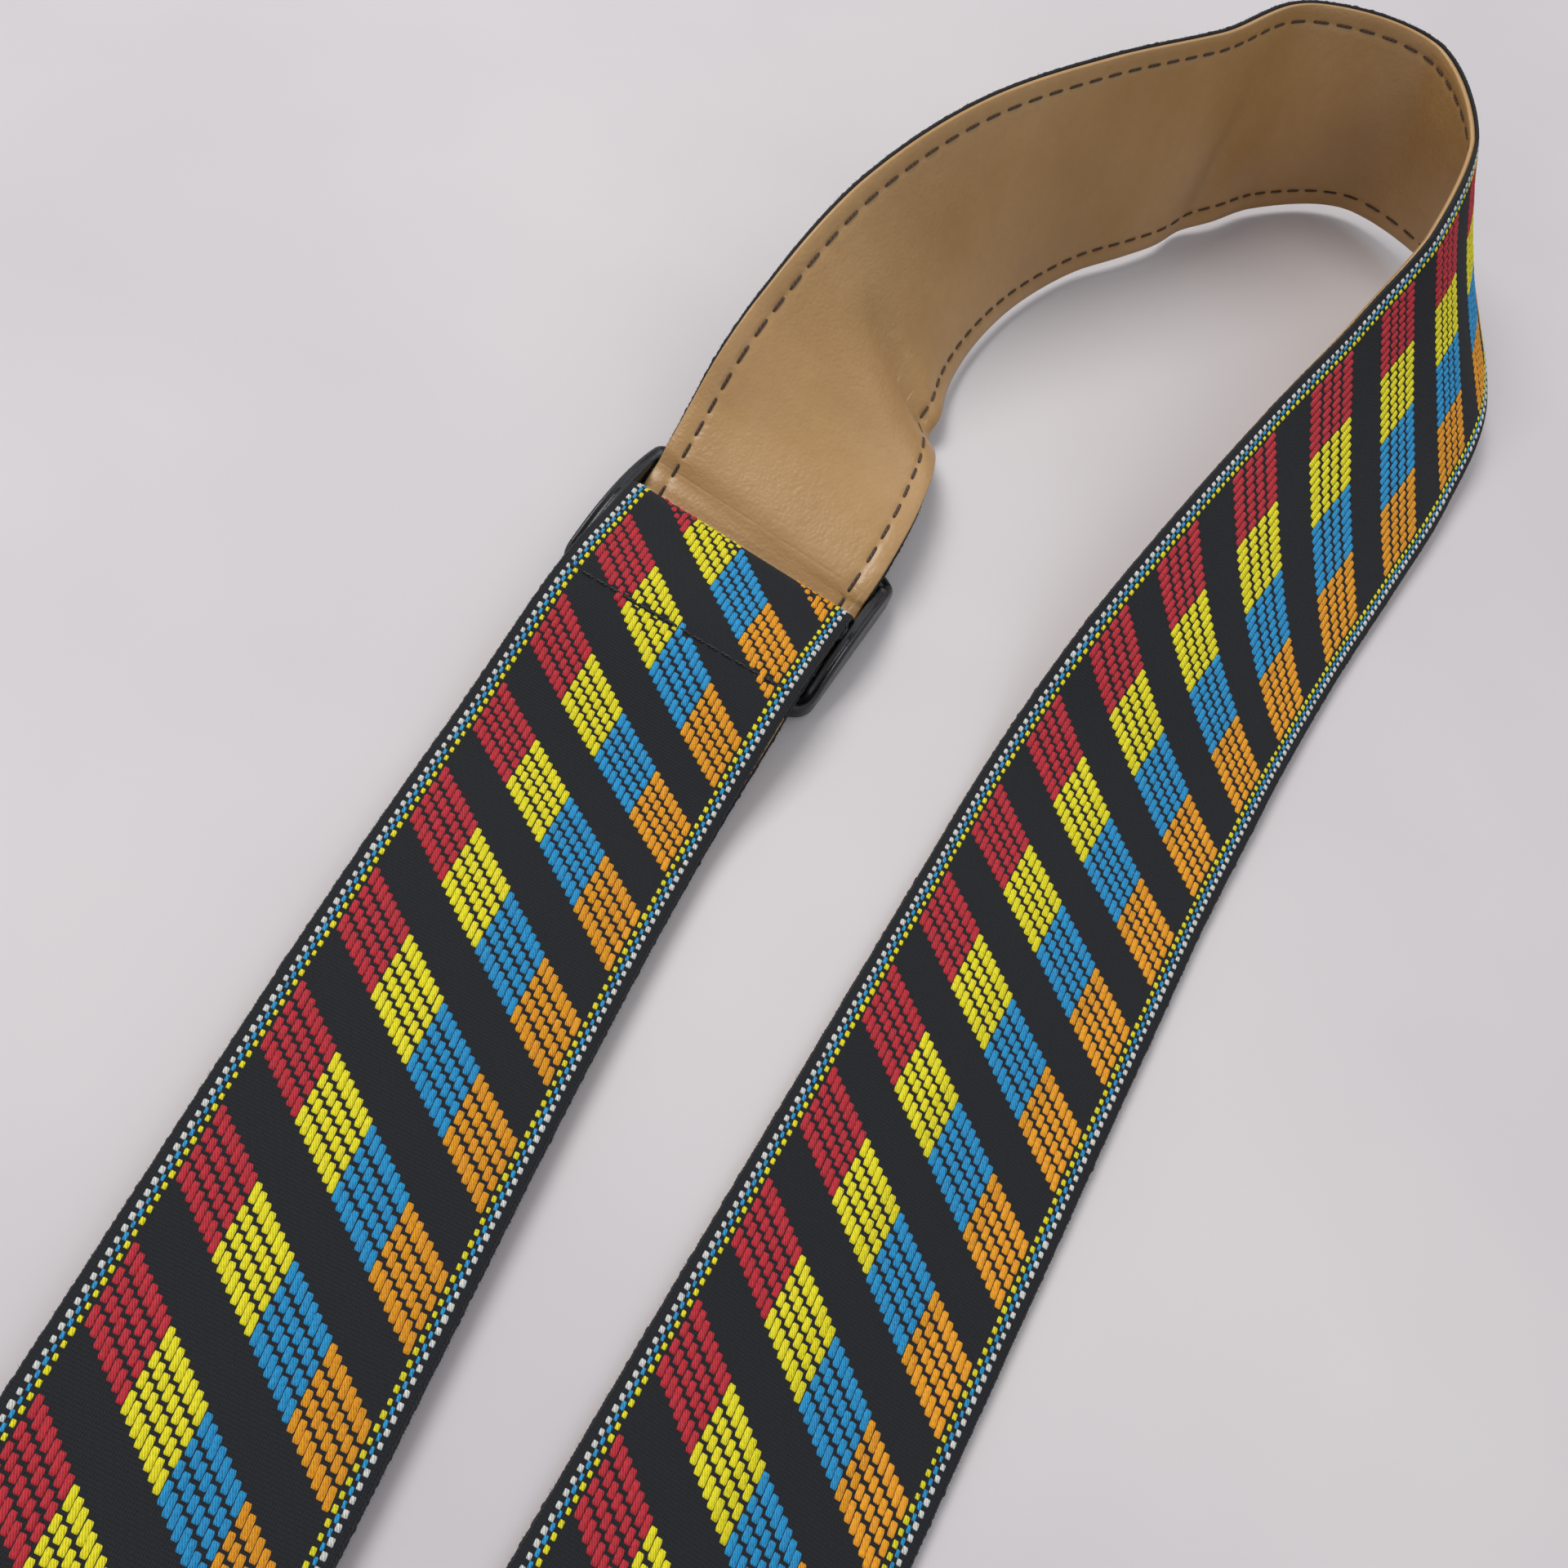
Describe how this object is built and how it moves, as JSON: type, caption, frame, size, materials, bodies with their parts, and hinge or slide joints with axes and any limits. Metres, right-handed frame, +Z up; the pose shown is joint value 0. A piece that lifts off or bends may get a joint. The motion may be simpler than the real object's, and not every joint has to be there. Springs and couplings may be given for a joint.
{
  "type": "guitar strap",
  "caption": "Woven jacquard guitar strap with a vinyl backing, laid in a loop, with a length slider, a ring and two leather button tabs.",
  "frame": {"origin": "middle of the strap's footprint, on the surface that it lies on", "axes": "+Y along the two runs towards the loop, +X from the slider towards the long run, +Z up"},
  "size_m": [0.1514, 0.6358, 0.0541],
  "materials": {
    "jacquard_ribbon": "black woven ribbon with raised red, yellow, blue and orange stripes",
    "tan_vinyl": "tan vinyl with a fine grain and a soft gloss",
    "seam_thread": "dark brown lockstitch thread",
    "slider_plastic": "moulded black plastic, semi-gloss",
    "ring_metal": "black plated wire",
    "tab_leather": "black leather with a pebbled grain",
    "tab_lining": "dark split leather, rough side"
  },
  "bodies": {
    "slider": {"slider": "slider_plastic", "threaded_ribbon": "jacquard_ribbon", "threaded_vinyl": "tan_vinyl", "threaded_seam_red_edge": "seam_thread", "threaded_seam_orange_edge": "seam_thread", "sewn_end_ribbon": "jacquard_ribbon", "sewn_end_vinyl": "tan_vinyl", "sewn_end_seam_red_edge": "seam_thread", "sewn_end_seam_orange_edge": "seam_thread", "cross_seam": "seam_thread"},
    "strap": {"long_run_ribbon": "jacquard_ribbon", "long_run_vinyl": "tan_vinyl", "long_run_seam_red_edge": "seam_thread", "long_run_seam_orange_edge": "seam_thread", "loop_rise_ribbon": "jacquard_ribbon", "loop_rise_vinyl": "tan_vinyl", "loop_rise_seam_red_edge": "seam_thread", "loop_rise_seam_orange_edge": "seam_thread", "loop_bend_ribbon": "jacquard_ribbon", "loop_bend_vinyl": "tan_vinyl", "loop_bend_seam_red_edge": "seam_thread", "loop_bend_seam_orange_edge": "seam_thread", "loop_return_ribbon": "jacquard_ribbon", "loop_return_vinyl": "tan_vinyl", "loop_return_seam_red_edge": "seam_thread", "loop_return_seam_orange_edge": "seam_thread", "feed_ribbon": "jacquard_ribbon", "feed_vinyl": "tan_vinyl", "feed_seam_red_edge": "seam_thread", "feed_seam_orange_edge": "seam_thread", "front_tab_leather": "tab_leather", "front_tab_box_seam": "seam_thread", "front_tab_edge_seam": "seam_thread", "front_tab_lining": "tab_lining"},
    "tail": {"tail_lower_ribbon": "jacquard_ribbon", "tail_lower_vinyl": "tan_vinyl", "tail_lower_seam_red_edge": "seam_thread", "tail_lower_seam_orange_edge": "seam_thread", "ring_fold_ribbon": "jacquard_ribbon", "ring_fold_vinyl": "tan_vinyl", "ring_fold_seam_red_edge": "seam_thread", "ring_fold_seam_orange_edge": "seam_thread", "tail_upper_ribbon": "jacquard_ribbon", "tail_upper_vinyl": "tan_vinyl", "tail_upper_seam_red_edge": "seam_thread", "tail_upper_seam_orange_edge": "seam_thread"},
    "ring": {"ring": "ring_metal"},
    "rear_tab": {"rear_tab_leather": "tab_leather", "rear_tab_edge_seam": "seam_thread"}
  },
  "joints": [
    {"name": "strap_feed", "type": "slide", "parent": "slider", "child": "strap", "axis": [0, 1, 0], "range_m": [-0.025, 0.09], "deforming": ["feed_ribbon", "feed_vinyl", "feed_seam_red_edge", "feed_seam_orange_edge"]},
    {"name": "tail_feed", "type": "slide", "parent": "slider", "child": "tail", "axis": [-0.0962, 0.9954, 0], "range_m": [-0.0125, 0.045], "deforming": ["tail_lower_ribbon", "tail_lower_vinyl", "tail_lower_seam_red_edge", "tail_lower_seam_orange_edge", "tail_upper_ribbon", "tail_upper_vinyl", "tail_upper_seam_red_edge", "tail_upper_seam_orange_edge"]},
    {"name": "ring_swing", "type": "hinge", "parent": "tail", "child": "ring", "pos_m": [-0.01815, -0.19301, 0.0048], "axis": [-1, 0, 0], "range_deg": [0, 80]},
    {"name": "rear_tab_swing", "type": "hinge", "parent": "ring", "child": "rear_tab", "pos_m": [-0.01815, -0.21301, 0.0048], "axis": [-1, 0, 0], "range_deg": [0, 100]}
  ],
  "couplings": [
    {"joint": "tail_feed", "follows": "strap_feed", "ratio": 0.5}
  ]
}
